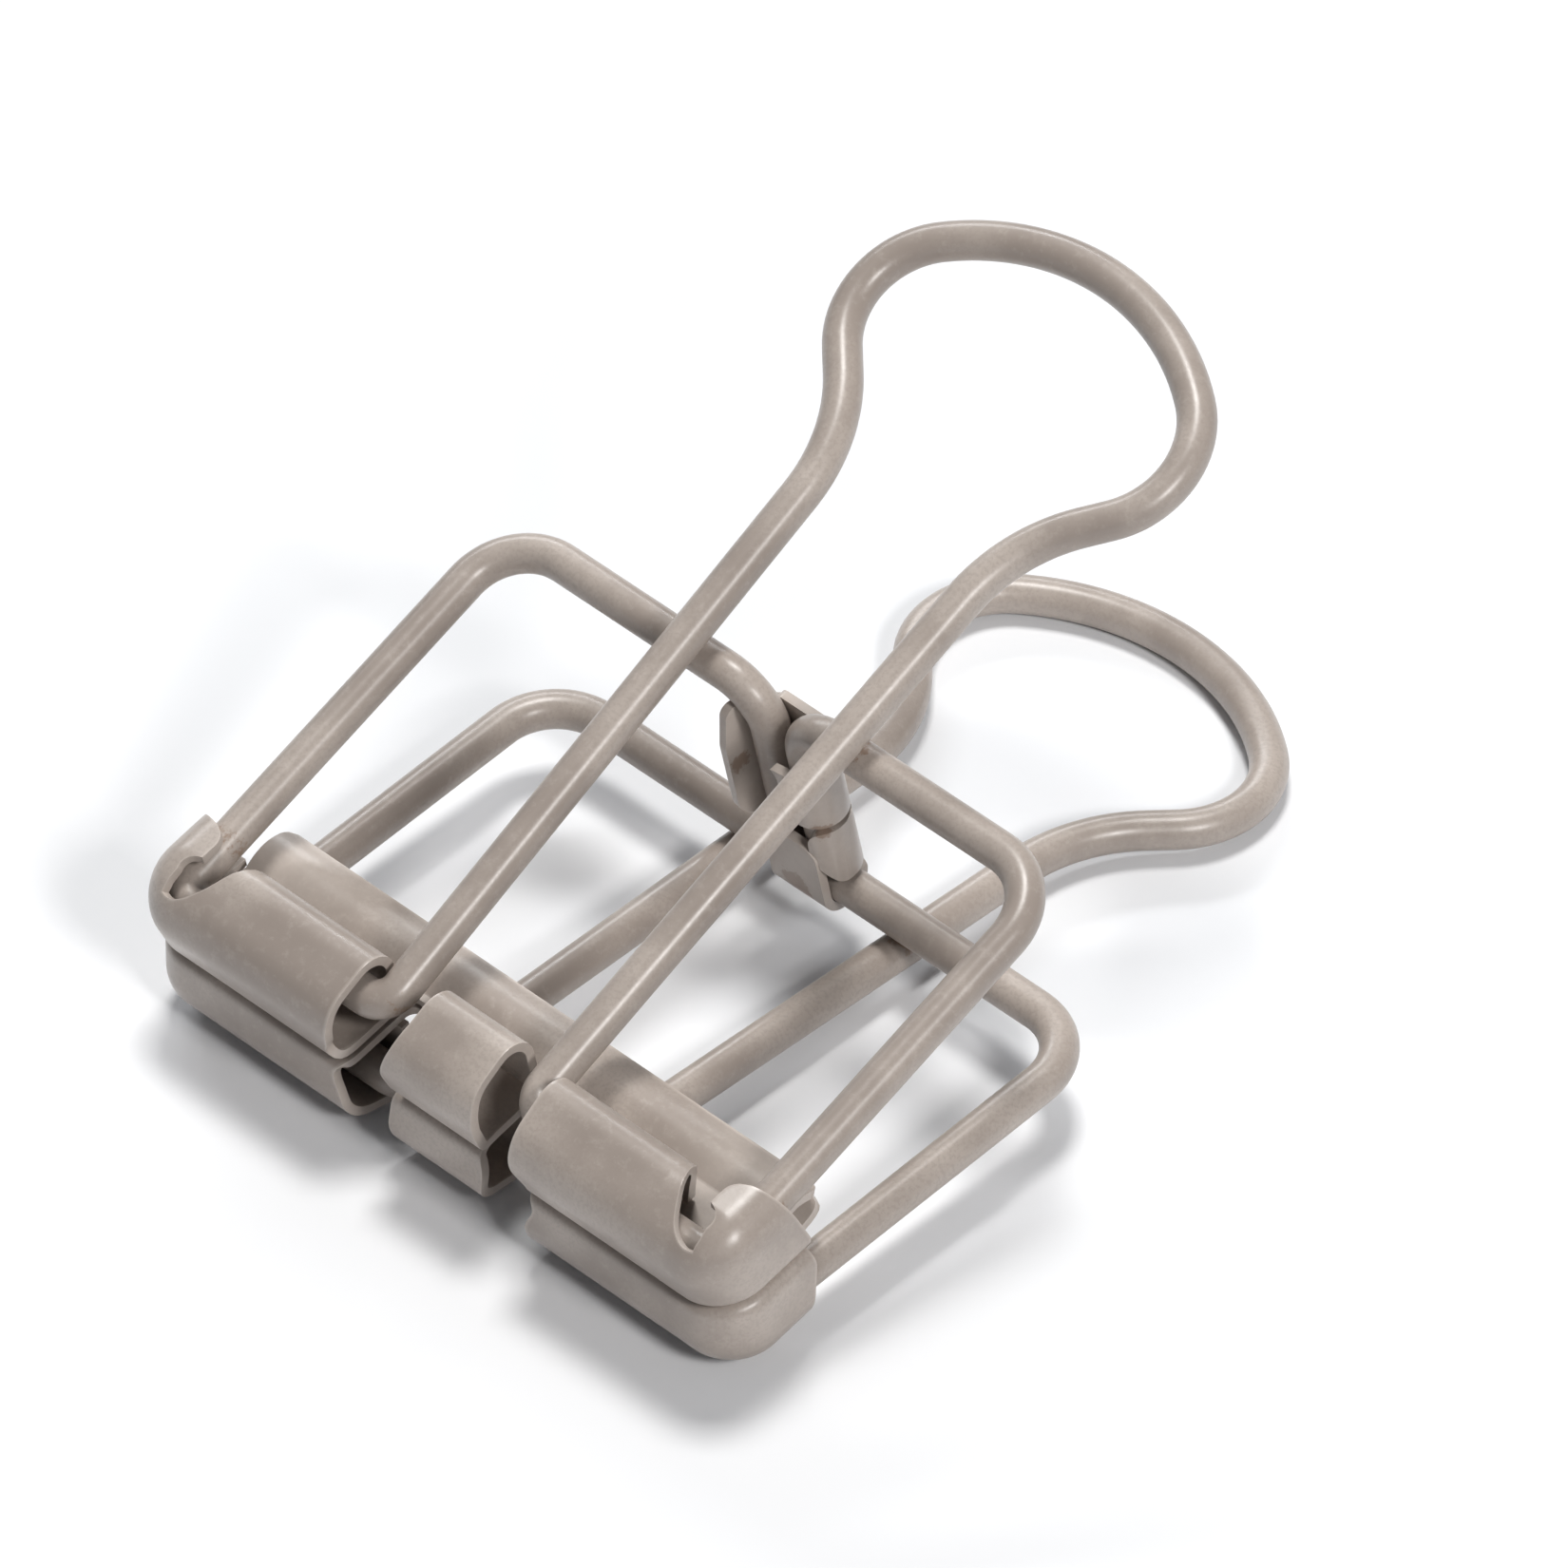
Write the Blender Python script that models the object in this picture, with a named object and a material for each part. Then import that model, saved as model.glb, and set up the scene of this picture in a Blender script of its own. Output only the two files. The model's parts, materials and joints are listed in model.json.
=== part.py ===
"""Wire-frame binder clip: two sprung wire frames, folded sheet jaws, a spine bracket and two handles."""
import math

import bmesh
import bpy
from mathutils import Matrix, Vector
from mathutils.geometry import delaunay_2d_cdt, tessellate_polygon

mm = 0.001

# Driving dimensions, millimetres, in the clip's own frame:
# x across the jaws, y from the jaws back to the spine, z away from the plane where the jaws meet.
wireRadius = 0.8
wireSides = 16
gap = 0.3                       # air between pieces that touch
sheet = 0.4                     # thickness of every folded sheet

legX = 14.6                     # frame legs, half spacing
legHeight = 2.4                 # leg axis above the jaw plane at y = 0
spineY = 17.7
spineHeight = 5.05              # spine bar axis above the jaw plane
frameCorner = 2.8
toeY = -2.05                    # where a leg turns inward inside the jaw
toeX = 11.8
toeBend = 1.1

stubX = 0.95                    # the two upper wires turn down side by side at the spine
stubBend = 1.9
stubEnd = -3.5
cutX = 3.2                      # where the turning part of an upper wire starts

jawRear = 3.6
jawCrease = -3.2
jawHalf = 16.0
tubeTop = 4.3
tubeFront = -3.85
tubeBack = 0.35
tubeLip = 0.75                  # height of the rolled edge above the jaw plane
earTop = 3.9
earLip = 13.2

footY = -1.2                    # handle foot axis
footZ = 2.5
footEnd = 10.4
footBend = 1.0
handleHalf = 3.9
handleSplay = 0.018             # legs open slightly towards the neck, radians
legRun = 26.0
neckRadius = 7.6
neckTurn = 0.73
neckRun = 1.2
shoulderRadius = 3.9
shoulderTurn = 1.65

bracketClear = 0.2              # air round the wires inside the bracket
bracketTop = 4.2

rest = 11.6                     # the clip lies back on its lower handle by this angle, degrees
paint = (0.36, 0.32, 0.285, 1.0)

# Derived sizes
jawFace = gap / 2
legSlope = (spineHeight - legHeight) / spineY
wrapInner = wireRadius + bracketClear
wrapOuter = wrapInner + sheet
footToSpine = math.hypot(spineY - footY, spineHeight - footZ)
handleAngle = math.atan2(spineHeight - footZ, spineY - footY) + math.asin(
    (2 * wireRadius + 0.25) / footToSpine)


def leanBack():
    """Matrix from the clip's own frame to the world's directions and metres."""
    return Matrix.Rotation(math.radians(rest), 4, 'X') @ Matrix.Scale(mm, 4)


def roundedPath(corners, radii, chord=0.28):
    """Polyline through corner points with every inner corner replaced by an arc."""
    points = [Vector(corners[0])]
    for before, corner, after, radius in zip(corners, corners[1:], corners[2:], radii):
        corner = Vector(corner)
        towards = (Vector(before) - corner).normalized()
        away = (Vector(after) - corner).normalized()
        inside = math.acos(max(-1.0, min(1.0, towards.dot(away))))
        if radius <= 0 or inside > math.pi - 0.01:
            points.append(corner)
            continue
        turn = math.pi - inside
        start = corner + towards * (radius / math.tan(inside / 2))
        centre = corner + (towards + away).normalized() * (radius / math.sin(inside / 2))
        first = start - centre
        last = corner + away * (radius / math.tan(inside / 2)) - centre
        steps = max(2, math.ceil(max(radius * turn / chord / 2, turn / 0.24)))
        for i in range(steps + 1):
            t = i / steps
            arm = (first * math.sin((1 - t) * turn) + last * math.sin(t * turn)) / math.sin(turn)
            points.append(centre + arm)
    points.append(Vector(corners[-1]))
    return points


def finishObject(name, bm, material, smooth):
    """Turn a bmesh in clip coordinates into a scene object."""
    bmesh.ops.transform(bm, matrix=leanBack(), verts=bm.verts)
    bmesh.ops.recalc_face_normals(bm, faces=bm.faces)
    mesh = bpy.data.meshes.new(name)
    bm.to_mesh(mesh)
    bm.free()
    for polygon in mesh.polygons:
        polygon.use_smooth = smooth
    mesh.materials.append(material)
    part = bpy.data.objects.new(name, mesh)
    bpy.context.scene.collection.objects.link(part)
    return part


def sweepWire(name, path, material):
    """Round wire along a polyline, closed at both ends."""
    bm = bmesh.new()
    count = len(path)
    tangents = []
    for i in range(count):
        before = path[max(i - 1, 0)]
        after = path[min(i + 1, count - 1)]
        tangents.append((after - before).normalized())
    side = tangents[0].cross(Vector((0.3, 0.5, 0.81))).normalized()
    rings = []
    for i, (point, tangent) in enumerate(zip(path, tangents)):
        if i:
            side = tangents[i - 1].rotation_difference(tangent) @ side
        side = (side - tangent * side.dot(tangent)).normalized()
        other = tangent.cross(side)
        ring = []
        for k in range(wireSides):
            angle = 2 * math.pi * k / wireSides
            spoke = side * math.cos(angle) + other * math.sin(angle)
            ring.append(bm.verts.new(point + spoke * wireRadius))
        rings.append(ring)
    for ringA, ringB in zip(rings, rings[1:]):
        for k in range(wireSides):
            n = (k + 1) % wireSides
            bm.faces.new((ringA[k], ringA[n], ringB[n], ringB[k]))
    bm.faces.new(list(reversed(rings[0])))
    bm.faces.new(rings[-1])
    return finishObject(name, bm, material, True)


def offsetPath(path, distance):
    """Polyline moved sideways to its left by a distance."""
    moved = []
    for i, point in enumerate(path):
        normals = []
        for a, b in ((i - 1, i), (i, i + 1)):
            if 0 <= a and b < len(path):
                run = (path[b] - path[a]).normalized()
                normals.append(Vector((-run.y, run.x)))
        middle = sum(normals, Vector((0, 0))).normalized()
        moved.append(point + middle * (distance / middle.dot(normals[0])))
    return moved


class Bend:
    """A sheet profile unrolled to its length, measured from where the path starts."""

    def __init__(self, corners, radii, inward, start):
        self.outer = roundedPath(corners, radii)
        self.inner = offsetPath(self.outer, inward)
        self.stations = [start]
        for a, b in zip(self.outer, self.outer[1:]):
            self.stations.append(self.stations[-1] + (b - a).length)

    def at(self, length, inside):
        """Point of the outer or inner surface at a length along the blank."""
        line = self.inner if inside else self.outer
        last = len(line) - 2
        k = 0
        while k < last and length > self.stations[k + 1]:
            k += 1
        t = (length - self.stations[k]) / (self.stations[k + 1] - self.stations[k])
        return line[k].lerp(line[k + 1], t)


def insideOutline(face, outline):
    """Whether a flat face lies within the blank, tested at the middle of its largest triangle."""
    best = None
    for a, b, c in tessellate_polygon([[p.to_3d() for p in face]]):
        a, b, c = face[a], face[b], face[c]
        area = abs((b - a).cross(c - a))
        if best is None or area > best[0]:
            best = (area, (a + b + c) / 3)
    p = best[1]
    within = False
    for a, b in zip(outline, outline[1:] + outline[:1]):
        if (a.y > p.y) != (b.y > p.y) and p.x < a.x + (b.x - a.x) * (p.y - a.y) / (b.y - a.y):
            within = not within
    return within


def foldSheet(name, outline, lines, place, material):
    """Solid sheet part from a flat blank: outline (clockwise) and bend lines, both faces put in place."""
    verts = [Vector(p) for p in reversed(outline)]
    edges = [(i, (i + 1) % len(verts)) for i in range(len(verts))]
    for a, b in lines:
        edges.append((len(verts), len(verts) + 1))
        verts += [Vector(a), Vector(b)]
    flat, _, faces, _, _, _ = delaunay_2d_cdt(verts, edges, [], 2, 1e-5)
    kept = [face for face in faces if insideOutline([flat[i] for i in face], outline)]
    used = sorted({i for face in kept for i in face})
    bm = bmesh.new()
    outer = {i: bm.verts.new(place(flat[i].x, flat[i].y, False)) for i in used}
    inner = {i: bm.verts.new(place(flat[i].x, flat[i].y, True)) for i in used}
    sides = {}
    for face in kept:
        bm.faces.new([outer[i] for i in face])
        bm.faces.new([inner[i] for i in reversed(face)])
        for a, b in zip(face, face[1:] + face[:1]):
            sides.setdefault(frozenset((a, b)), []).append((a, b))
    for users in sides.values():
        if len(users) == 1:
            a, b = users[0]
            bm.faces.new((outer[b], outer[a], inner[a], inner[b]))
    bmesh.ops.triangulate(bm, faces=[f for f in bm.faces if len(f.verts) > 4])
    return finishObject(name, bm, material, False)


def turned(point):
    """The lower half of the clip is the upper half turned about the long axis."""
    return Vector((-point[0], point[1], -point[2]))


def frameLeg(side):
    """Toe, leg and spine bar of one side of the upper frame, up to the middle."""
    toe = legHeight + legSlope * toeY
    return [(side * toeX, toeY, toe), (side * legX, toeY, toe),
            (side * legX, spineY, spineHeight), (0.0, spineY, spineHeight)]


def upperWirePath(side):
    toe, elbow, corner, _ = frameLeg(side)
    end = (side * (cutX + gap / 2), spineY, spineHeight)
    return roundedPath([toe, elbow, corner, end], [toeBend, frameCorner])


def lowerWirePath():
    left = frameLeg(-1)[:3]
    right = frameLeg(1)[:3]
    corners = [turned(p) for p in left + right[::-1]]
    return roundedPath(corners, [toeBend, frameCorner, frameCorner, toeBend])


def stubPath(side):
    corners = [(side * (cutX - gap / 2), spineY, spineHeight),
               (side * stubX, spineY, spineHeight), (side * stubX, spineY, stubEnd)]
    return roundedPath(corners, [stubBend])


def handlePath(flip):
    """Feet, legs, necks and finger loop, symmetric about x = 0."""
    half = [(footEnd, 0.0)]
    half += [tuple(p) for p in roundedPath(
        [(footEnd, 0.0), (handleHalf, 0.0), (handleHalf + handleSplay * 8, 8.0)], [footBend])[1:-1]]
    width, length, heading = handleHalf + handleSplay * legRun, legRun, handleSplay
    half.append((width, length))

    def arc(radius, turn, steps):
        nonlocal width, length, heading
        bend = math.copysign(radius, turn)
        for _ in range(steps):
            after = heading + turn / steps
            width += bend * (math.cos(heading) - math.cos(after))
            length += bend * (math.sin(after) - math.sin(heading))
            heading = after
            half.append((width, length))

    arc(neckRadius, neckTurn, 7)
    width += neckRun * math.sin(heading)
    length += neckRun * math.cos(heading)
    half.append((width, length))
    arc(shoulderRadius, -shoulderTurn, 12)
    crown = width / math.cos(heading)
    arc(crown, -(heading + math.pi / 2), 10)
    half[-1] = (0.0, length)
    points = half + [(-w, s) for w, s in reversed(half[:-1])]
    lie = math.cos(handleAngle), math.sin(handleAngle)
    path = [Vector((w, footY + s * lie[0], footZ + s * lie[1])) for w, s in points]
    return [turned(p) for p in path] if flip else path


def buildJaw(name, flip, material):
    """Jaw plate with three rolled sleeves at the front and an ear folded over each frame leg."""
    roll = Bend([(-jawRear, jawFace), (-jawCrease, jawFace), (-tubeFront, tubeTop),
                 (-tubeBack, tubeTop), (-tubeBack, tubeLip)], [0.5, 1.5, 2.0], sheet, -jawRear)
    ear = Bend([(0.0, jawFace), (jawHalf, jawFace), (jawHalf, earTop), (earLip, earTop)],
               [0.6, 1.3], sheet, 0.0)
    lip = -roll.stations[-1]
    earEnd = ear.stations[-1]

    def place(u, v, inside):
        if abs(u) > 14.7 and v > jawCrease + 0.35:
            p = ear.at(abs(u), inside)
            point = Vector((math.copysign(p.x, u), v, p.y))
        else:
            p = roll.at(-v, inside)
            point = Vector((u, -p.x, p.y))
        return turned(point) if flip else point

    def side(inner, step):
        """Outline from the strip's rear corner to the notch beside the middle sleeve."""
        return [(14.5, jawRear, 0.4), (14.5, 1.0, 0.2), (15.15, 1.0, 0.2), (15.15, 1.9, 0.1),
                (16.6, 1.8, 0.3), (19.2, 0.5, 0.4), (earEnd, 0.3, 0.4), (earEnd, -0.9, 0.4),
                (19.7, -2.4, 0.5), (16.2, -2.65, 0.2), (15.5, jawCrease + 0.45, 0.1),
                (15.3, -3.5, 0.3), (14.2, -6.0, 0.5), (12.9, -7.6, 0.4), (12.9, lip, 0.4),
                (5.0, lip, 0.5), (5.0, -4.6, 0.6), (5.7, -3.3, 0.8), (5.7, -2.0, 0.8), (5.0, -0.8, 0.8),
                (5.0, 0.8, 0.5), (inner, 0.8, 0.5), (inner, -2.3, 0.5), (inner + step, -3.4, 0.5),
                (inner, -5.2, 0.5), (inner, lip, 0.4)]

    right = side(2.5, 0.0)
    left = [(-u, v, r) for u, v, r in reversed(side(1.6, 1.0))]
    corners = right + left
    corners = [(0.0, jawRear, 0.0)] + corners + [(0.0, jawRear, 0.0)]
    outline = roundedPath([(u, v) for u, v, _ in corners], [r for _, _, r in corners[1:-1]])[:-1]
    lines = []
    for v in [-s for s in roll.stations[1:-1]]:
        for low, high in ((-15.9, -4.3), (-3.6, 3.6), (4.3, 15.9)):
            if v < jawCrease + 0.6:
                lines.append(((low, v), (high, v)))
    for u in ear.stations[1:-1]:
        lines.append(((u, -3.3), (u, 2.6)))
        lines.append(((-u, -3.3), (-u, 2.6)))
    return foldSheet(name, outline, lines, place, material)


def buildBracket(name, material):
    """Sheet bracket: back plate, a flange curled round each stub and a hook under the lower bar."""
    back = wrapOuter
    half = stubX + wrapOuter
    left = Bend([(0.0, -back), (half, -back), (half, back), (0.55, back)], [1.35, 1.35], sheet, 0.0)
    hook = Bend([(0.0, back), (spineHeight + wrapOuter, back), (spineHeight + wrapOuter, -back),
                 (1.2, -back)], [1.35, 1.35], -sheet, 0.0)
    flangeEnd = left.stations[-1]
    hookEnd = -hook.stations[-1]

    def place(u, v, inside):
        if v < -3.05 and abs(u) < 2.0:
            p = hook.at(-v, inside)
            return Vector((u, spineY + p.y, -p.x))
        p = left.at(abs(u), inside)
        return Vector((math.copysign(p.x, u), spineY - p.y, v))

    corners = [(0.0, bracketTop, 0.0), (1.3, bracketTop, 0.4), (1.3, 3.1, 0.3), (flangeEnd - 1.0, 2.9, 0.4),
               (flangeEnd + 0.2, 2.7, 0.4), (flangeEnd + 0.2, -0.6, 0.3), (1.5, -0.9, 0.6), (1.1, -2.6, 0.6),
               (1.7, -4.0, 0.8), (1.7, hookEnd, 0.5), (-0.4, hookEnd, 0.5), (-0.6, hookEnd + 2.4, 0.6),
               (-1.7, hookEnd + 2.6, 0.5), (-1.7, -4.0, 0.8), (-1.3, -2.9, 0.2), (-2.6, -2.7, 0.5),
               (-flangeEnd + 1.0, -2.2, 0.8), (-flangeEnd, -0.4, 1.2), (-flangeEnd, 1.2, 1.2),
               (-flangeEnd + 1.6, 3.1, 0.9), (-1.3, 3.1, 0.3), (-1.3, bracketTop, 0.4), (0.0, bracketTop, 0.0)]
    outline = roundedPath([(u, v) for u, v, _ in corners], [r for _, _, r in corners[1:-1]])[:-1]
    lines = []
    lines.append(((-2.0, -3.05), (2.0, -3.05)))
    for u in left.stations[1:-1]:
        lines.append(((u, -3.05), (u, 4.6)))
        lines.append(((-u, -3.05), (-u, 4.6)))
    for v in [-s for s in hook.stations[1:-1]]:
        lines.append(((-2.0, v), (2.0, v)))
    return foldSheet(name, outline, lines, place, material)


def makeMaterial(name, roughness):
    material = bpy.data.materials.new(name)
    material.use_nodes = True
    shader = material.node_tree.nodes['Principled BSDF']
    shader.inputs['Base Color'].default_value = paint
    shader.inputs['Roughness'].default_value = roughness
    shader.inputs['Metallic'].default_value = 0.0
    return material


def addAxis(name, point, offset, children):
    """Empty on a joint axis; the pieces that turn with it hang from it."""
    axis = bpy.data.objects.new(name, None)
    axis.empty_display_size = 0.003
    axis.matrix_world = Matrix.Translation(offset + leanBack() @ Vector(point))
    bpy.context.scene.collection.objects.link(axis)
    for child in children:
        child.parent = axis
        child.matrix_parent_inverse = axis.matrix_world.inverted()
    return axis


def standOnOrigin(parts):
    """Move the pieces so the middle of their footprint is the origin and the lowest point is at z = 0."""
    points = [vertex.co for part in parts for vertex in part.data.vertices]
    low = Vector([min(p[i] for p in points) for i in range(3)])
    high = Vector([max(p[i] for p in points) for i in range(3)])
    offset = Vector((-(low.x + high.x) / 2, -(low.y + high.y) / 2, -low.z))
    for part in parts:
        part.data.transform(Matrix.Translation(offset))
    return offset


def build():
    for old in list(bpy.data.objects):
        bpy.data.objects.remove(old, do_unlink=True)
    paths = {'handle_upper': handlePath(False), 'handle_lower': handlePath(True),
             'wire_upper_left': upperWirePath(-1), 'wire_upper_right': upperWirePath(1),
             'wire_lower': lowerWirePath(), 'stub_left': stubPath(-1), 'stub_right': stubPath(1)}
    parts = {}
    for name, path in paths.items():
        parts[name] = sweepWire(name, path, makeMaterial(name + '_paint', 0.42))
    parts['jaw_upper'] = buildJaw('jaw_upper', False, makeMaterial('jaw_upper_paint', 0.5))
    parts['jaw_lower'] = buildJaw('jaw_lower', True, makeMaterial('jaw_lower_paint', 0.5))
    parts['bracket'] = buildBracket('bracket', makeMaterial('bracket_paint', 0.5))
    offset = standOnOrigin(list(parts.values()))
    addAxis('axis_spine_lower', (0, spineY, -spineHeight), offset,
            [parts[n] for n in ('bracket', 'stub_left', 'stub_right')])
    addAxis('axis_spine_upper', (0, spineY, spineHeight), offset,
            [parts[n] for n in ('wire_upper_left', 'wire_upper_right', 'jaw_upper')])
    addAxis('axis_handle_upper', (0, footY, footZ), offset, [parts['handle_upper']])
    addAxis('axis_handle_lower', (0, footY, -footZ), offset, [parts['handle_lower']])
    for name in ('axis_spine_lower', 'axis_spine_upper', 'axis_handle_upper', 'axis_handle_lower'):
        place = bpy.data.objects[name].location
        print(name, [round(c, 6) for c in place])


build()
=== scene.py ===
import bmesh
import bpy
import json
import math
from mathutils import Matrix, Vector
from mathutils.geometry import delaunay_2d_cdt, tessellate_polygon


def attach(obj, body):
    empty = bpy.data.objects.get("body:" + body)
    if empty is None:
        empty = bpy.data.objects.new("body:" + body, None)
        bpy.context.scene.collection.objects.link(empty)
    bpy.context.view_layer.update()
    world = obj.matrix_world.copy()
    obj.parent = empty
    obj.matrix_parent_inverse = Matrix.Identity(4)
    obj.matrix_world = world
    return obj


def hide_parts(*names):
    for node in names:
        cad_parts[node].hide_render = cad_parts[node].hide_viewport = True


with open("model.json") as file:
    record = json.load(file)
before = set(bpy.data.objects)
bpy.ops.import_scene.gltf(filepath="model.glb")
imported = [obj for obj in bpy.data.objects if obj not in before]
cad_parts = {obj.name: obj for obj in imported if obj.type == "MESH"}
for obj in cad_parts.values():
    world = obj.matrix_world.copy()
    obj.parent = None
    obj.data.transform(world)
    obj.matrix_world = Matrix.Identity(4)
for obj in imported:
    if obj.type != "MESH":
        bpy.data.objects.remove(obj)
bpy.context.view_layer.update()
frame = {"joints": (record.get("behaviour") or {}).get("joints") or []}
mm = 0.001
print("frame loaded")

# The clip is drawn in its own frame, in millimetres:
# x across the jaws, y from jaws to spine, z away from the closed jaws.
clipShape = {
    "wire": 0.8,            # wire radius
    "sheet": 0.4,
    "meet": 0.15,           # half the air between the closed jaws
    "spineY": 17.7,
    "spineZ": 5.05,
    "legX": 14.6,
    "legZ": 2.4,
}
legSlope = (clipShape["spineZ"] - clipShape["legZ"]) / clipShape["spineY"]


def clipFrame():
    places = {joint["name"]: Vector(joint["pos_m"]) for joint in frame["joints"]}
    low, high = places["spine_lower_hinge"], places["spine_upper_hinge"]
    across = Vector((1, 0, 0))
    up = (high - low).normalized()
    back = up.cross(across)
    origin = (low + high) / 2 - back * clipShape["spineY"] * mm
    turn = Matrix((across, back, up)).transposed().to_4x4()
    return Matrix.Translation(origin) @ turn @ Matrix.Scale(mm, 4)


clipToWorld = clipFrame()


def turned(point):
    return Vector((-point[0], point[1], -point[2]))     # the lower half is the upper one turned over


class Flow:
    # a socket that takes part in sums
    def __init__(self, paint, socket):
        self.paint = paint
        self.socket = socket

    def maths(self, kind, first, second):
        return self.paint.node("ShaderNodeMath", {"operation": kind}, {0: first, 1: second})[0]

    def __add__(self, other):
        return self.maths("ADD", self, other)

    def __radd__(self, other):
        return self.maths("ADD", other, self)

    def __sub__(self, other):
        return self.maths("SUBTRACT", self, other)

    def __rsub__(self, other):
        return self.maths("SUBTRACT", other, self)

    def __mul__(self, other):
        return self.maths("MULTIPLY", self, other)

    def __rmul__(self, other):
        return self.maths("MULTIPLY", other, self)

    def ramp(self, low, high):
        # 0 below low, 1 above high, smooth between
        return self.paint.node("ShaderNodeMapRange", {"interpolation_type": "SMOOTHSTEP"},
                               {"Value": self, "From Min": low, "From Max": high})[0]


class Paint:
    def __init__(self, name):
        self.material = bpy.data.materials.new(name)
        self.material.use_nodes = True
        self.tree = self.material.node_tree
        self.shader = self.tree.nodes["Principled BSDF"]

    def node(self, kind, settings=None, sockets=None):
        made = self.tree.nodes.new(kind)
        for key, value in (settings or {}).items():
            setattr(made, key, value)
        for key, value in (sockets or {}).items():
            if isinstance(value, Flow):
                self.tree.links.new(value.socket, made.inputs[key])
            else:
                made.inputs[key].default_value = value
        return [Flow(self, socket) for socket in made.outputs]

    def spot(self):
        return self.node("ShaderNodeTexCoord")[3]       # object coordinates, metres

    def grain(self, size, detail=2.0, rough=0.5):
        # noise with features about this many millimetres wide
        return self.node("ShaderNodeTexNoise", None,
                         {"Vector": self.spot(), "Scale": 1000.0 / size, "Detail": detail,
                          "Roughness": rough})[0]

    def mix(self, amount, first, second):
        return self.node("ShaderNodeMix", {"data_type": "RGBA"}, {0: amount, 6: first, 7: second})[2]

    def near(self, point, radius):
        # 1 at a point of the clip, falling to 0 at a radius in millimetres
        centre = clipToWorld @ Vector(point)
        away = self.node("ShaderNodeVectorMath", {"operation": "DISTANCE"}, {0: self.spot(), 1: centre})[1]
        return 1 - (away * (1000.0 / radius)).ramp(0.0, 1.0)

    def feed(self, **links):
        for key, value in links.items():
            socket = self.shader.inputs[key.replace("_", " ")]
            if isinstance(value, Flow):
                self.tree.links.new(value.socket, socket)
            else:
                socket.default_value = value


paintLook = {
    "base": (0.440, 0.384, 0.343, 1),
    "pale": (0.520, 0.462, 0.418, 1),
    "deep": (0.300, 0.255, 0.225, 1),
    "rubAndShadeBrown": (0.250, 0.165, 0.115, 1),       # brown painted at the contact points: painted contact shade, partly paint rubbed through to the metal
    "rough": 0.33,
    "coat": 0.12,
    "peel": 0.000010,                       # height of the finest paint grain, metres
}


def satinPaint(name, contacts, rimHighlight=0.0):
    paint = Paint(name)
    cloud = paint.grain(6.0, 3.0)
    speck = paint.grain(0.16, 2.0, 0.6)
    fleck = paint.grain(0.45, 3.0, 0.7)
    colour = paint.mix(cloud.ramp(0.35, 0.68), paintLook["deep"], paintLook["base"])
    colour = paint.mix(fleck.ramp(0.50, 0.72) * 0.22, colour, paintLook["pale"])
    colour = paint.mix(speck.ramp(0.44, 0.64) * 0.34, colour, paintLook["deep"])
    # lighter cut edges of the sheet: a painted highlight along the rims
    if rimHighlight:
        edge = paint.node("ShaderNodeAttribute", {"attribute_name": "rimHighlight"})[2]
        colour = paint.mix(edge * rimHighlight * (0.65 + fleck * 0.5), colour, paintLook["pale"])
    # brown at the contact points between parts: painted contact shade, partly rubbed paint
    rubAndShade = 0.0
    for point, radius in contacts:
        rubAndShade = paint.near(point, radius) + rubAndShade
    if contacts:
        rubAndShade = (rubAndShade * 0.9 + fleck * 0.9 + speck * 0.35).ramp(1.02, 1.22)
        colour = paint.mix(rubAndShade * 0.75, colour, paintLook["rubAndShadeBrown"])
    height = speck * 0.5 + fleck * 0.5
    bump = paint.node("ShaderNodeBump", None,
                      {"Height": height, "Strength": 0.55, "Distance": paintLook["peel"]})
    paint.feed(Base_Color=colour, Roughness=paintLook["rough"] + (fleck - 0.5) * 0.16 + (cloud - 0.5) * 0.10,
               Normal=bump[0], Coat_Weight=paintLook["coat"], Coat_Roughness=0.30, Metallic=0.0)
    return paint.material


def roundedPath(corners, radii, chord=0.2):
    points = [Vector(corners[0])]
    for before, corner, after, radius in zip(corners, corners[1:], corners[2:], radii):
        corner = Vector(corner)
        towards = (Vector(before) - corner).normalized()
        away = (Vector(after) - corner).normalized()
        inside = math.acos(max(-1.0, min(1.0, towards.dot(away))))
        if radius <= 0 or inside > math.pi - 0.01:
            points.append(corner)
            continue
        turn = math.pi - inside
        start = corner + towards * (radius / math.tan(inside / 2))
        centre = corner + (towards + away).normalized() * (radius / math.sin(inside / 2))
        first = start - centre
        last = corner + away * (radius / math.tan(inside / 2)) - centre
        steps = max(3, math.ceil(max(radius * turn / chord, turn / 0.12)))
        for i in range(steps + 1):
            t = i / steps
            arm = (first * math.sin((1 - t) * turn) + last * math.sin(t * turn)) / math.sin(turn)
            points.append(centre + arm)
    points.append(Vector(corners[-1]))
    return points


def sampled(path, step):
    # extra points along the straight runs
    points = [path[0]]
    for a, b in zip(path, path[1:]):
        count = max(1, round((b - a).length / step))
        points += [a.lerp(b, i / count) for i in range(1, count + 1)]
    return points


def makeObject(name, bm, material, smoothAngle):
    bmesh.ops.transform(bm, matrix=clipToWorld, verts=bm.verts)
    bmesh.ops.recalc_face_normals(bm, faces=bm.faces)
    mesh = bpy.data.meshes.new(name)
    bm.to_mesh(mesh)
    bm.free()
    mesh.materials.append(material)
    mesh.shade_smooth()
    if smoothAngle:
        mesh.set_sharp_from_angle(angle=math.radians(smoothAngle))
    piece = bpy.data.objects.new(name, mesh)
    bpy.context.scene.collection.objects.link(piece)
    return piece


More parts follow.
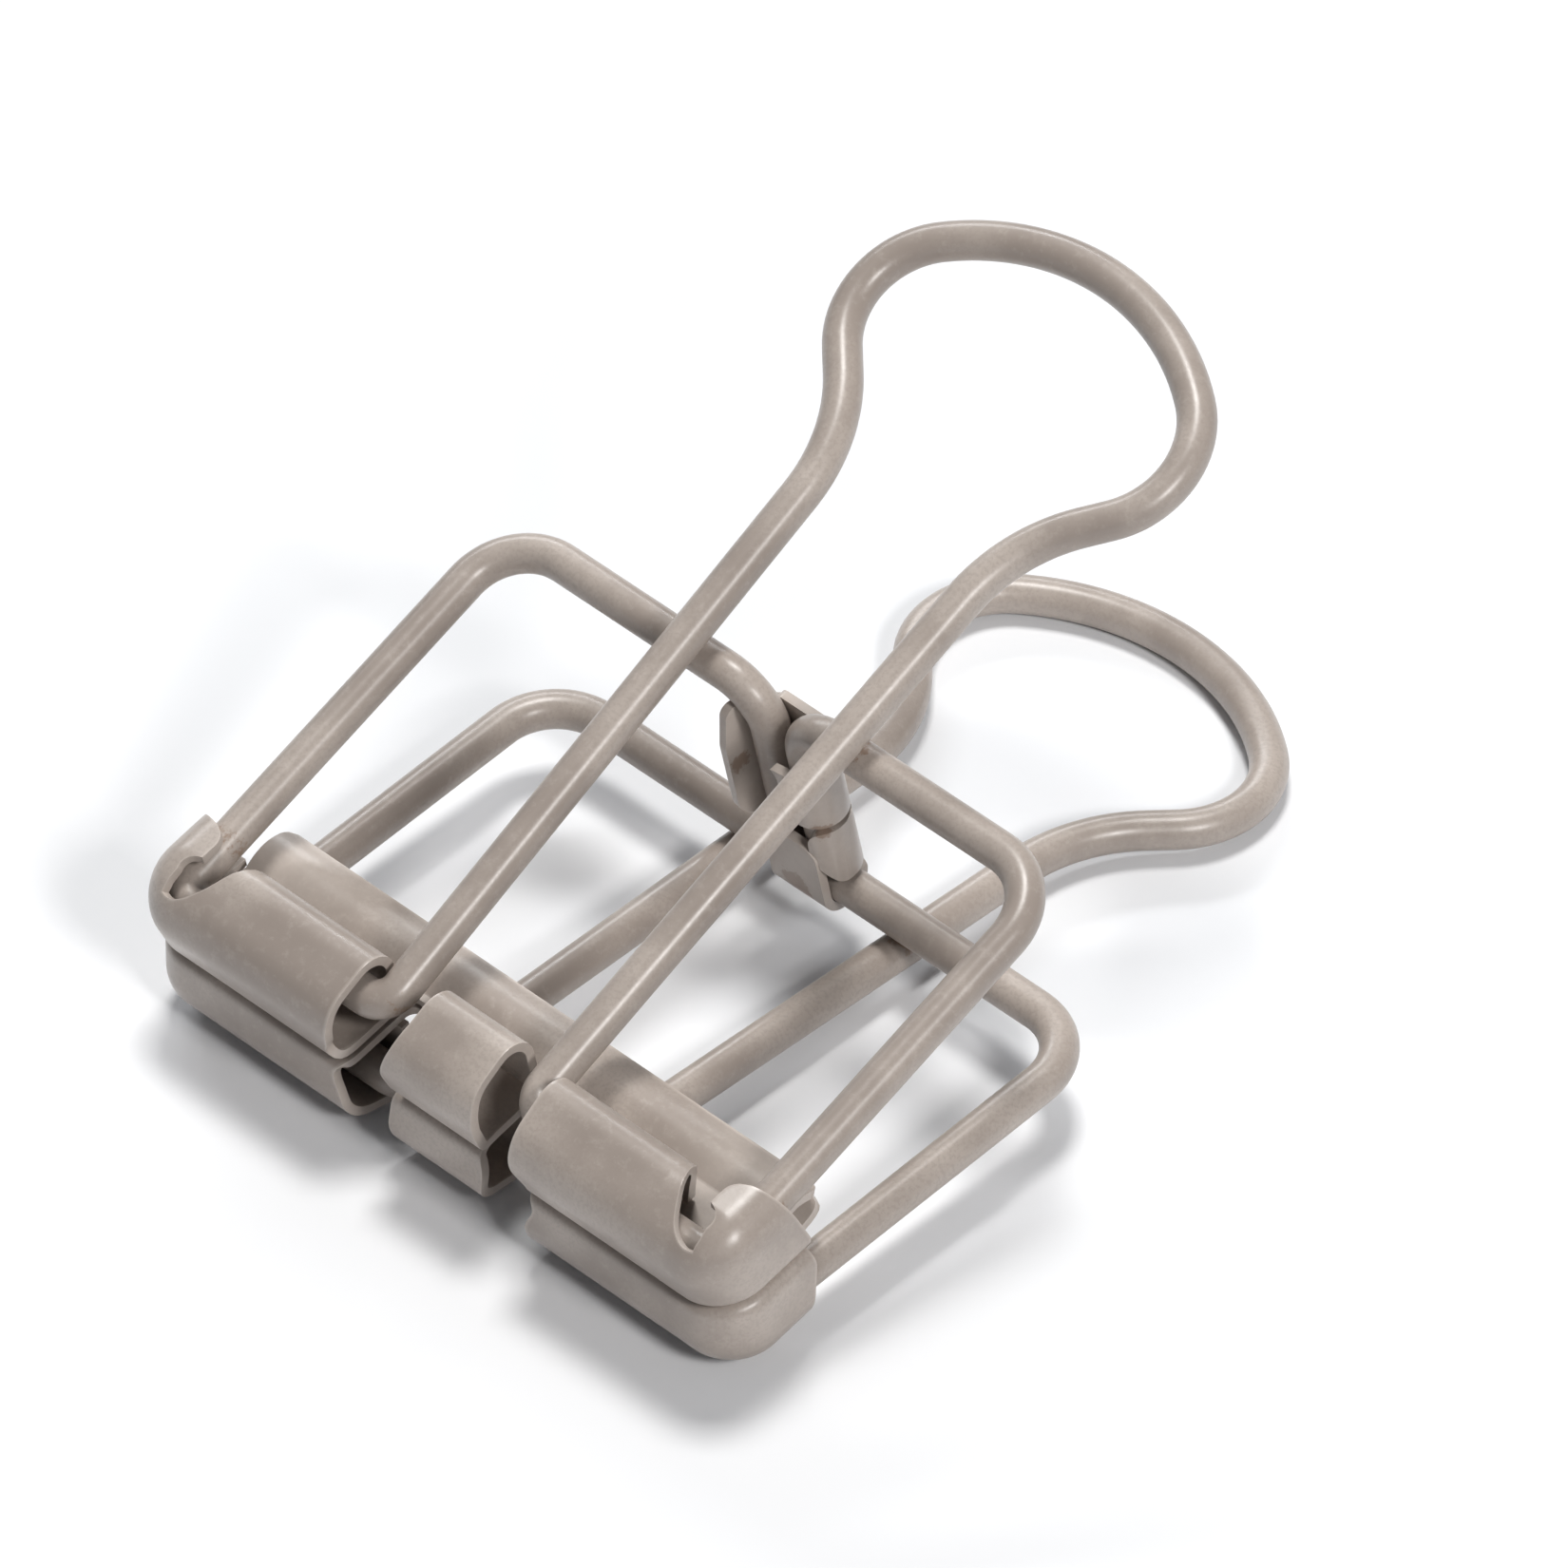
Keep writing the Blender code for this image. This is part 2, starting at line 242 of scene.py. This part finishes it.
def wirePiece(name, path, material, sides=36, ends=(True, True)):
    radius = clipShape["wire"]
    path = sampled(path, 0.8)
    last = len(path) - 1
    tangents = [(path[min(i + 1, last)] - path[max(i - 1, 0)]).normalized() for i in range(len(path))]
    sizes = [1.0] * len(path)
    for end, spot, tangent in ((0, path[0], -tangents[0]), (1, path[-1], tangents[-1])):
        if ends[end]:       # a small round on the cut end
            for reach, size in ((0.05, 0.985), (0.12, 0.90), (0.15, 0.78)):
                if end:
                    path.append(spot + tangent * reach)
                    tangents.append(tangent)
                    sizes.append(size)
                else:
                    path.insert(0, spot + tangent * reach)
                    tangents.insert(0, -tangent)
                    sizes.insert(0, size)
    bm = bmesh.new()
    side = tangents[0].cross(Vector((0.3, 0.5, 0.81))).normalized()
    rings = []
    for i, (point, tangent, size) in enumerate(zip(path, tangents, sizes)):
        if i:
            side = tangents[i - 1].rotation_difference(tangent) @ side
        side = (side - tangent * side.dot(tangent)).normalized()
        other = tangent.cross(side)
        ring = []
        for k in range(sides):
            angle = 2 * math.pi * k / sides
            arm = side * math.cos(angle) + other * math.sin(angle)
            ring.append(bm.verts.new(point + arm * radius * size))
        rings.append(ring)
    for ringA, ringB in zip(rings, rings[1:]):
        for k in range(sides):
            n = (k + 1) % sides
            bm.faces.new((ringA[k], ringA[n], ringB[n], ringB[k]))
    bm.faces.new(list(reversed(rings[0])))
    bm.faces.new(rings[-1])
    return makeObject(name, bm, material, 50)


def offsetPath(path, distance):
    moved = []
    for i, point in enumerate(path):
        normals = []
        for a, b in ((i - 1, i), (i, i + 1)):
            if 0 <= a and b < len(path):
                run = (path[b] - path[a]).normalized()
                normals.append(Vector((-run.y, run.x)))
        middle = sum(normals, Vector((0, 0))).normalized()
        moved.append(point + middle * (distance / middle.dot(normals[0])))
    return moved


class Fold:
    # a sheet profile laid flat, measured from where the path starts
    def __init__(self, corners, radii, inward):
        self.outer = roundedPath(corners, radii)
        self.inner = offsetPath(self.outer, inward)
        self.stations = [0.0]
        for a, b in zip(self.outer, self.outer[1:]):
            self.stations.append(self.stations[-1] + (b - a).length)

    def at(self, length, inside):
        line = self.inner if inside else self.outer
        last = len(line) - 2
        k = 0
        while k < last and length > self.stations[k + 1]:
            k += 1
        t = (length - self.stations[k]) / (self.stations[k + 1] - self.stations[k])
        return line[k].lerp(line[k + 1], t)


def insideOutline(face, outline):
    best = None
    for a, b, c in tessellate_polygon([[p.to_3d() for p in face]]):
        a, b, c = face[a], face[b], face[c]
        area = abs((b - a).cross(c - a))
        if best is None or area > best[0]:
            best = (area, (a + b + c) / 3)
    p = best[1]
    within = False
    for a, b in zip(outline, outline[1:] + outline[:1]):
        if (a.y > p.y) != (b.y > p.y) and p.x < a.x + (b.x - a.x) * (p.y - a.y) / (b.y - a.y):
            within = not within
    return within


def sheetPiece(name, outline, lines, place, material, soften):
    verts = [Vector(p) for p in reversed(outline)]
    edges = [(i, (i + 1) % len(verts)) for i in range(len(verts))]
    for a, b in lines:
        edges.append((len(verts), len(verts) + 1))
        verts += [Vector(a), Vector(b)]
    flat, _, faces, _, _, _ = delaunay_2d_cdt(verts, edges, [], 2, 1e-5)
    kept = [face for face in faces if insideOutline([flat[i] for i in face], outline)]
    used = sorted({i for face in kept for i in face})
    bm = bmesh.new()
    outer = {i: bm.verts.new(place(flat[i].x, flat[i].y, False)) for i in used}
    inner = {i: bm.verts.new(place(flat[i].x, flat[i].y, True)) for i in used}
    sides = {}
    for face in kept:
        bm.faces.new([outer[i] for i in face])
        bm.faces.new([inner[i] for i in reversed(face)])
        for a, b in zip(face, face[1:] + face[:1]):
            sides.setdefault(frozenset((a, b)), []).append((a, b))
    rimFaces = []
    for users in sides.values():
        if len(users) == 1:
            a, b = users[0]
            rimFaces.append(bm.faces.new((outer[b], outer[a], inner[a], inner[b])))
    rimSet = set(rimFaces)
    rimEdges = [e for e in bm.edges if len(e.link_faces) == 2
                and (e.link_faces[0] in rimSet) != (e.link_faces[1] in rimSet)]
    made = bmesh.ops.bevel(bm, geom=rimEdges, offset=soften, segments=3, profile=0.5, affect="EDGES",
                           clamp_overlap=True)
    # marks the cut edges that get the painted rim highlight
    rimHighlight = bm.verts.layers.float.new("rimHighlight")
    for face in made["faces"] + [f for f in rimFaces if f.is_valid]:
        for vert in face.verts:
            vert[rimHighlight] = 1.0
    bmesh.ops.triangulate(bm, faces=[f for f in bm.faces if len(f.verts) > 4])
    piece = makeObject(name, bm, material, 38)
    piece.modifiers.new("soft faces", "WEIGHTED_NORMAL").keep_sharp = True
    return piece


frameShape = {
    "corner": 2.8,
    "toeY": -2.05,
    "toeX": 11.8,
    "toeBend": 1.1,
    "stubX": 0.95,
    "stubBend": 2.0,
    "stubEnd": -3.5,
    "seam": 3.2,            # where the turning part of an upper wire starts on the spine bar
}


def frameLeg(side):
    toe = clipShape["legZ"] + legSlope * frameShape["toeY"]
    return [(side * frameShape["toeX"], frameShape["toeY"], toe),
            (side * clipShape["legX"], frameShape["toeY"], toe),
            (side * clipShape["legX"], clipShape["spineY"], clipShape["spineZ"])]


def buildFrames():
    spineY, spineZ = clipShape["spineY"], clipShape["spineZ"]
    bends = [frameShape["toeBend"], frameShape["corner"]]
    for side, word in ((-1, "left"), (1, "right")):
        marks = [((side * 14.6, 0.8, 2.5), 1.6), ((side * 4.4, 17.7, 5.4), 1.2)]
        material = satinPaint("paintUpper" + word.title(), marks)
        seam = (side * frameShape["seam"], spineY, spineZ)
        path = roundedPath(frameLeg(side) + [seam], bends)
        piece = wirePiece("frameUpper" + word.title(), path, material, ends=(True, False))
        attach(piece, "upper_frame")
        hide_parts("wire_upper_" + word)
        corner = (side * frameShape["stubX"], spineY, spineZ)
        path = roundedPath([seam, corner, (corner[0], spineY, frameShape["stubEnd"])], [frameShape["stubBend"]])
        stub = wirePiece("stub" + word.title(), path, material, ends=(False, True))
        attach(stub, "spine")
        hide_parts("stub_" + word)
    corners = [turned(p) for p in frameLeg(-1) + frameLeg(1)[::-1]]
    marks = [((0.2, 17.7, -5.0), 2.2), ((-14.6, 0.8, -2.5), 1.6), ((14.6, 0.8, -2.5), 1.6)]
    material = satinPaint("paintLower", marks)
    piece = wirePiece("frameLower", roundedPath(corners, bends + bends[::-1]), material)
    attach(piece, "lower_frame")
    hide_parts("wire_lower")


buildFrames()
print("wire frames made")

handleShape = {
    "footY": -1.2,
    "footZ": 2.5,
    "footEnd": 10.4,
    "footBend": 1.0,
    "half": 3.9,
    "splay": 0.018,
    "leg": 26.0,
    "neckRadius": 7.6,
    "neckTurn": 0.73,
    "neckRun": 1.2,
    "shoulderRadius": 3.9,
    "shoulderTurn": 1.65,
    "air": 0.25,            # between the legs and the spine bar they lean on
}


def handlePath(flip):
    shape = handleShape
    rise = clipShape["spineZ"] - shape["footZ"]
    run = clipShape["spineY"] - shape["footY"]
    lift = 2 * clipShape["wire"] + shape["air"]
    lean = math.atan2(rise, run) + math.asin(lift / math.hypot(run, rise))
    width, length, heading = shape["half"] + shape["splay"] * shape["leg"], shape["leg"], shape["splay"]
    corners = [(shape["footEnd"], 0.0), (shape["half"], 0.0), (width, length)]
    half = [(p.x, p.y) for p in roundedPath(corners, [shape["footBend"]], 0.12)]

    def arc(radius, turn, steps):
        nonlocal width, length, heading
        bend = math.copysign(radius, turn)
        for _ in range(steps):
            after = heading + turn / steps
            width += bend * (math.cos(heading) - math.cos(after))
            length += bend * (math.sin(after) - math.sin(heading))
            heading = after
            half.append((width, length))

    arc(shape["neckRadius"], shape["neckTurn"], 16)
    width += shape["neckRun"] * math.sin(heading)
    length += shape["neckRun"] * math.cos(heading)
    half.append((width, length))
    arc(shape["shoulderRadius"], -shape["shoulderTurn"], 24)
    arc(width / math.cos(heading), -(heading + math.pi / 2), 22)
    half[-1] = (0.0, length)
    points = half + [(-w, s) for w, s in reversed(half[:-1])]
    path = [Vector((w, shape["footY"] + s * math.cos(lean), shape["footZ"] + s * math.sin(lean)))
            for w, s in points]
    return [turned(p) for p in path] if flip else path


def buildHandles():
    for word, flip in (("upper", False), ("lower", True)):
        marks = [((3.9, -0.6, 2.5), 1.5), ((-3.9, -0.6, 2.5), 1.5),
                 ((4.3, 17.7, 6.4), 1.6), ((-4.3, 17.7, 6.4), 1.6)]
        marks = [(turned(p), r) if flip else (p, r) for p, r in marks]
        material = satinPaint("paintHandle" + word.title(), marks)
        piece = wirePiece("handle" + word.title(), handlePath(flip), material)
        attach(piece, word + "_handle")
        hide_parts("handle_" + word)


buildHandles()
print("handles made")

jawShape = {
    "rear": 3.6,            # rear edge of the grip strip
    "stripEnd": 14.4,
    "stripCrown": 0.42,     # how far the grip strip is raised along its middle
    "front": -3.2,          # fold at the front
    "side": 15.95,
    "corner": 2.2,          # plan radius where the front wall turns into the ear
    "slot": 0.8,            # the handle slots reach back to here
    "setBack": 0.3,         # the middle sleeve stands a little behind the outer two
    "soften": 0.065,        # round on the cut edges
    "slitAt": 15.0,         # where the corner is slit, along the front and round the corner
    "slitDepth": 4.55,      # how far up the profile the sheet stays whole there
    "sleeveRun": 2.8,       # the sleeve's end slopes back over this length
    "earRun": 3.0,          # and the ear rises over this one
    "earLength": 2.6,
    "earLean": 0.26,
    "crownStart": 1.2,
}
jawRows = 44
jawColumns = 110
cornerStart = jawShape["side"] - jawShape["corner"]
cornerEnd = cornerStart + jawShape["corner"] * math.pi / 2
sleeveFold = Fold([(-1.2, 0.15), (0.0, 0.15), (0.72, 3.2), (-3.55, 4.72), (-3.55, 0.75)],
                  [0.5, 1.9, 1.25], 0.0)
earFold = Fold([(-1.2, 0.15), (0.0, 0.15), (0.0, 3.95), (-2.2, 4.15)], [0.6, 1.6], 0.0)
sleeveEnd, earEnd = sleeveFold.stations[-1], earFold.stations[-1]


def smooth(value, low, high):
    t = max(0.0, min(1.0, (value - low) / (high - low)))
    return t * t * (3 - 2 * t)


def jawPlan(q):
    # point and outward direction at a length along the front and round the corner
    shape = jawShape
    if q < cornerStart:
        return Vector((q, shape["front"], 0)), Vector((0, -1, 0))
    if q > cornerEnd:
        return Vector((shape["side"], shape["front"] + shape["corner"] + q - cornerEnd, 0)), Vector((1, 0, 0))
    angle = (q - cornerStart) / shape["corner"]
    away = Vector((math.sin(angle), -math.cos(angle), 0))
    return Vector((cornerStart, shape["front"] + shape["corner"], 0)) + away * shape["corner"], away


def jawPoint(q, v):
    turn = smooth(q, 13.9, 17.4)
    profile = sleeveFold.at(min(v, sleeveEnd), False).lerp(earFold.at(min(v, earEnd), False), turn)
    spot, away = jawPlan(q)
    return spot + away * profile.x + Vector((0, 0, profile.y))


def outerReach(q, earRear):
    # length of the sheet from the inner margin to its free edge
    slit, depth = jawShape["slitAt"], jawShape["slitDepth"]
    if q < slit:
        t = max(0.0, 1 + (q - slit) / jawShape["sleeveRun"])
        return depth + (sleeveEnd - depth) * (1 - t) ** 3.2
    t = min(1.0, (q - slit) / jawShape["earRun"])
    reach = depth + (earEnd - depth) * (0.5 * smooth(q, slit - 0.3, slit + 0.9) + 0.5 * t ** 2)
    over = max(0.0, q - (earRear - 0.7)) / 0.7
    return reach - 0.7 * (1 - math.sqrt(max(0.0, 1 - min(1.0, over) ** 2)))


def outerGrid():
    rows = []
    first = cornerEnd + jawShape["earLength"]
    for i in range(jawColumns + 1):
        s = i / jawColumns
        s = s + 0.055 * math.sin(2 * math.pi * s) * (1 - s)
        column = []
        for j in range(jawRows + 1):
            guess = 5.0 + (first - 5.0) * s
            v = outerReach(guess, first) * (j / jawRows)
            inner = 4.95 + 0.45 * math.exp(-((v - 1.7) / 0.7) ** 2) - 0.1 * smooth(v, 4.0, 8.0)
            rear = first - jawShape["earLean"] * max(0.0, v - 1.7)
            column.append(jawPoint(inner + (rear - inner) * s, v))
        rows.append(column)
    return rows


def middleGrid():
    rows = []
    for i in range(41):
        s = i / 40
        column = []
        for j in range(jawRows + 1):
            v = sleeveEnd * j / jawRows
            left = -1.7 - 0.7 * math.exp(-((v - 2.2) / 2.0) ** 2) + 0.25 * smooth(v, 9.5, 11.5)
            right = 2.45 + 0.25 * math.exp(-((v - 3.0) / 1.5) ** 2) - 0.25 * smooth(v, 9.5, 11.5)
            point = jawPoint(left + (right - left) * s, v)
            column.append(point + Vector((0, jawShape["setBack"], 0)))
        rows.append(column)
    return rows


def addGrid(bm, grid):
    made = [[bm.verts.new(point) for point in column] for column in grid]
    for first, second in zip(made, made[1:]):
        for j in range(len(first) - 1):
            bm.faces.new((first[j], second[j], second[j + 1], first[j + 1]))
    return [column[0] for column in made]


def jawMesh(flip):
    shape = jawShape
    bm = bmesh.new()
    outer = outerGrid()
    right = addGrid(bm, outer)
    left = addGrid(bm, [[Vector((-p.x, p.y, p.z)) for p in column] for column in outer[::-1]])
    middle = addGrid(bm, middleGrid())

    def corner(points, radii):
        return [bm.verts.new((p.x, p.y, shapeHeight(p.y))) for p in roundedPath(points, radii)]

    def shapeHeight(y):
        t = max(0.0, min(1.0, (y - shape["crownStart"]) / (shape["rear"] - shape["crownStart"])))
        return clipShape["meet"] + shape["stripCrown"] * math.sin(math.pi * t) ** 1.2

    def flatRun(a, b, radii=0.5):
        return corner([a, (a[0], shape["slot"]), (b[0], shape["slot"]), b], [radii, radii])[1:-1]

    joined = [vert for vert in right if vert.co.y < 0.95 or vert.co.x < 14]
    mirrored = [vert for vert in left if vert.co.y < 0.95 or vert.co.x > -14]
    end = shape["stripEnd"]
    outline = joined + corner([(joined[-1].co.x, 0.95), (end, 0.95), (end, 1.0)], [0.1])[1:-1]
    outline += corner([(end, 1.0), (end, shape["crownStart"])], [])
    ladder = 14             # rows across the crowned strip
    strip = []
    for k in range(ladder + 1):
        y = shape["crownStart"] + (shape["rear"] - shape["crownStart"]) * k / ladder
        past = min(1.0, max(0.0, (y - shape["rear"] + 0.5) / 0.5))
        bite = 0.5 * (1 - math.sqrt(1 - past ** 2))
        width = end - bite
        strip.append([bm.verts.new((share * width, y, shapeHeight(y))) for share in (1, 0.5, 0, -0.5, -1)])
    for low, high in zip(strip, strip[1:]):
        for k in range(4):
            bm.faces.new((low[k], low[k + 1], high[k + 1], high[k]))
    outline = outline[:-1] + strip[0]
    outline += corner([(-end, 1.0), (-end, 0.95), (mirrored[0].co.x, 0.95)], [0.1])[:-1]
    outline += mirrored
    outline += flatRun((mirrored[-1].co.x, mirrored[-1].co.y), (middle[0].co.x, middle[0].co.y))
    outline += middle
    outline += flatRun((middle[-1].co.x, middle[-1].co.y), (right[0].co.x, right[0].co.y))
    bm.faces.new(outline)
    bmesh.ops.remove_doubles(bm, verts=bm.verts, dist=1e-4)
    bmesh.ops.recalc_face_normals(bm, faces=bm.faces)
    base = min(bm.faces, key=lambda face: abs(face.calc_center_median().y - 2.5) + abs(face.normal.z) * -1)
    if base.normal.z > 0:
        bmesh.ops.reverse_faces(bm, faces=bm.faces)
    if flip:
        for vert in bm.verts:
            vert.co = turned(vert.co)
    return bm


def thickened(name, bm, material):
    # sheet metal from its outer face, with rounded cut edges
    bmesh.ops.transform(bm, matrix=clipToWorld, verts=bm.verts)
    mesh = bpy.data.meshes.new(name)
    bm.to_mesh(mesh)
    bm.free()
    mesh.materials.append(material)
    mesh.shade_smooth()
    piece = bpy.data.objects.new(name, mesh)
    bpy.context.scene.collection.objects.link(piece)
    piece.vertex_groups.new(name="edge")
    skin = piece.modifiers.new("thickness", "SOLIDIFY")
    skin.thickness = clipShape["sheet"] * mm
    skin.offset = -1
    skin.use_even_offset = False
    skin.use_quality_normals = True
    skin.rim_vertex_group = "edge"
    soft = piece.modifiers.new("cut edge", "BEVEL")
    soft.width = jawShape["soften"] * mm
    soft.segments = 3
    soft.limit_method = "ANGLE"
    soft.angle_limit = math.radians(50)
    graph = bpy.context.evaluated_depsgraph_get()
    solid = bpy.data.meshes.new_from_object(piece.evaluated_get(graph), preserve_all_data_layers=True,
                                            depsgraph=graph)
    piece.modifiers.clear()
    piece.data = solid
    # marks the cut edges that get the painted rim highlight
    rimHighlight = solid.attributes.new("rimHighlight", "FLOAT", "POINT")
    for vert in solid.vertices:
        rimHighlight.data[vert.index].value = max([group.weight for group in vert.groups], default=0.0)
    solid.set_sharp_from_angle(angle=math.radians(38))
    piece.modifiers.new("soft faces", "WEIGHTED_NORMAL").keep_sharp = True
    return piece


def buildJaws():
    for word, flip in (("upper", False), ("lower", True)):
        marks = [((4.6, -1.0, 2.6), 1.6), ((-4.6, -1.0, 2.6), 1.6),
                 ((14.6, 1.0, 2.6), 1.2), ((-14.6, 1.0, 2.6), 1.2)]
        marks = [(turned(p), r) if flip else (p, r) for p, r in marks]
        material = satinPaint("paintJaw" + word.title(), marks, rimHighlight=0.8)
        piece = thickened("jaw" + word.title(), jawMesh(flip), material)
        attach(piece, word + "_frame")
        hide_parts("jaw_" + word)


buildJaws()
print("jaws made")

bracketShape = {
    "clear": 0.03,          # air round the wires
    "top": 4.0,
    "turnUnder": -4.15,     # below this the back plate runs on into the hook
    "hookLip": -1.9,
}


def buildBracket():
    spineY, spineZ, stubX = clipShape["spineY"], clipShape["spineZ"], frameShape["stubX"]
    sheet = clipShape["sheet"]
    back = clipShape["wire"] + bracketShape["clear"] + sheet
    half = stubX + back
    top, under = bracketShape["top"], bracketShape["turnUnder"]
    bend = back - 0.02
    rightWrap = Fold([(0.0, -back), (half, -back), (half, back), (-0.3, back)], [bend, bend], sheet)
    leftWrap = Fold([(0.0, -back), (half, -back), (half + 0.32, back + 0.25)], [1.0], sheet)
    hook = Fold([(0.0, back), (spineZ + back, back), (spineZ + back, -back),
                 (-bracketShape["hookLip"], -back)], [bend, bend], -sheet)
    wing, leaf, tip = rightWrap.stations[-1], leftWrap.stations[-1], -hook.stations[-1]

    def place(u, v, inside):
        if v < under:
            p = hook.at(-v, inside)
            return Vector((u, spineY + p.y, -p.x))
        p = (rightWrap if u > 0 else leftWrap).at(abs(u), inside)
        return Vector((math.copysign(p.x, u), spineY - p.y, v))

    corners = [(0.0, top, 0.0), (1.2, top, 0.4), (1.4, 2.9, 0.4), (wing - 1.0, 2.5, 0.5),
               (wing, 2.3, 0.5), (wing, -0.35, 0.3), (2.0, -0.5, 0.1), (1.9, -0.65, 0.1),
               (2.0, -0.8, 0.1), (wing - 1.6, -0.8, 0.8), (wing - 1.5, -2.6, 0.9), (wing - 2.6, -4.0, 0.7),
               (1.0, -4.05, 0.1), (0.9, under - 0.1, 0.1), (1.5, under - 0.9, 0.5), (1.5, tip, 0.7),
               (-1.3, tip, 0.7), (-1.5, under - 1.2, 0.6), (-1.0, under + 0.6, 0.5), (-1.5, -3.2, 0.4),
               (-2.6, -3.0, 0.6), (-leaf, -1.9, 1.2), (-leaf, 2.2, 1.6), (-leaf + 0.4, 4.3, 0.5),
               (-2.3, 3.9, 0.6), (-1.7, 3.0, 0.5), (-1.2, top, 0.4), (0.0, top, 0.0)]
    outline = roundedPath([(u, v) for u, v, _ in corners], [r for _, _, r in corners[1:-1]])[:-1]
    lines = [((-2.6, under), (2.6, under))]
    for u in rightWrap.stations[1:-1]:
        lines.append(((u, under), (u, 4.6)))
    for u in leftWrap.stations[1:-1]:
        lines.append(((-u, under), (-u, 4.8)))
    for v in [-s for s in hook.stations[1:-1] if s > -under]:
        lines.append(((-2.6, v), (2.6, v)))
    marks = [((0.0, 16.4, -5.0), 1.6), ((-1.6, 16.6, 1.0), 1.4), ((1.8, 16.9, -0.6), 1.0)]
    material = satinPaint("paintBracket", marks, rimHighlight=0.8)
    piece = sheetPiece("spineBracket", outline, lines, place, material, soften=0.06)
    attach(piece, "spine")
    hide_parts("bracket")


buildBracket()
print("bracket made")

cameraLook = {
    "side": 0.94,           # radians round the clip
    "height": 0.893,
    "roll": -0.233,
    "away": 814.8,          # millimetres
    "lens": 480.0,
    "aim": (-0.57, 17.4, 0.0),
}


def buildCamera():
    look = cameraLook
    side, height, roll = look["side"], look["height"], look["roll"]
    back = Vector((math.sin(side) * math.cos(height), -math.cos(side) * math.cos(height), math.sin(height)))
    level = Vector((math.cos(side), math.sin(side), 0))
    upright = back.cross(level)
    right = level * math.cos(roll) + upright * math.sin(roll)
    up = upright * math.cos(roll) - level * math.sin(roll)
    turn = clipToWorld.to_3x3().normalized()
    axes = Matrix((turn @ right, turn @ up, turn @ back)).transposed().to_4x4()
    data = bpy.data.cameras.new("studioCamera")
    data.lens = look["lens"]
    data.sensor_width = 36.0
    data.clip_start = 0.01
    data.clip_end = 20.0
    camera = bpy.data.objects.new("studioCamera", data)
    camera.matrix_world = Matrix.Translation(clipToWorld @ (Vector(look["aim"]) + back * look["away"])) @ axes
    bpy.context.scene.collection.objects.link(camera)
    bpy.context.scene.camera = camera


def buildFloor():
    paint = Paint("paleFloor")
    cloud = paint.grain(90.0, 3.0)
    fibre = paint.grain(0.6, 3.0)
    colour = paint.mix(cloud.ramp(0.3, 0.7), (0.80, 0.815, 0.84, 1), (0.83, 0.84, 0.86, 1))
    bump = paint.node("ShaderNodeBump", None,
                      {"Height": fibre, "Strength": 0.1, "Distance": 0.00002})
    paint.feed(Base_Color=colour, Roughness=0.75 + (fibre - 0.5) * 0.1, Normal=bump[0], Specular_IOR_Level=0.15)
    bm = bmesh.new()
    bmesh.ops.create_grid(bm, x_segments=8, y_segments=8, size=1.5)
    mesh = bpy.data.meshes.new("floor")
    bm.to_mesh(mesh)
    bm.free()
    mesh.materials.append(paint.material)
    floor = bpy.data.objects.new("floor", mesh)
    bpy.context.scene.collection.objects.link(floor)


lights = {
    # name: (position in metres, width, height, watts, colour)
    "overhead": ((-0.10, 0.12, 0.60), 0.16, 0.16, 2.7, (1.0, 0.985, 0.96)),
    "rightFront": ((0.44, -0.12, 0.40), 0.12, 0.12, 2.0, (1.0, 0.98, 0.96)),
    "backLeft": ((-0.42, 0.26, 0.30), 0.40, 0.05, 1.2, (0.97, 0.985, 1.0)),
}


def buildLights():
    for name, (place, width, height, watts, colour) in lights.items():
        data = bpy.data.lights.new(name, "AREA")
        data.shape = "RECTANGLE"
        data.size, data.size_y = width, height
        data.energy = watts
        data.color = colour
        lamp = bpy.data.objects.new(name, data)
        lamp.location = place
        lamp.rotation_euler = (-Vector(place)).to_track_quat("-Z", "Y").to_euler()
        bpy.context.scene.collection.objects.link(lamp)
    world = bpy.data.worlds.new("studio")
    world.use_nodes = True
    world.node_tree.nodes["Background"].inputs["Color"].default_value = (0.86, 0.92, 1.0, 1)
    world.node_tree.nodes["Background"].inputs["Strength"].default_value = 0.13
    bpy.context.scene.world = world
    bpy.context.scene.view_settings.view_transform = "Standard"


buildCamera()
buildFloor()
buildLights()
print("studio made")
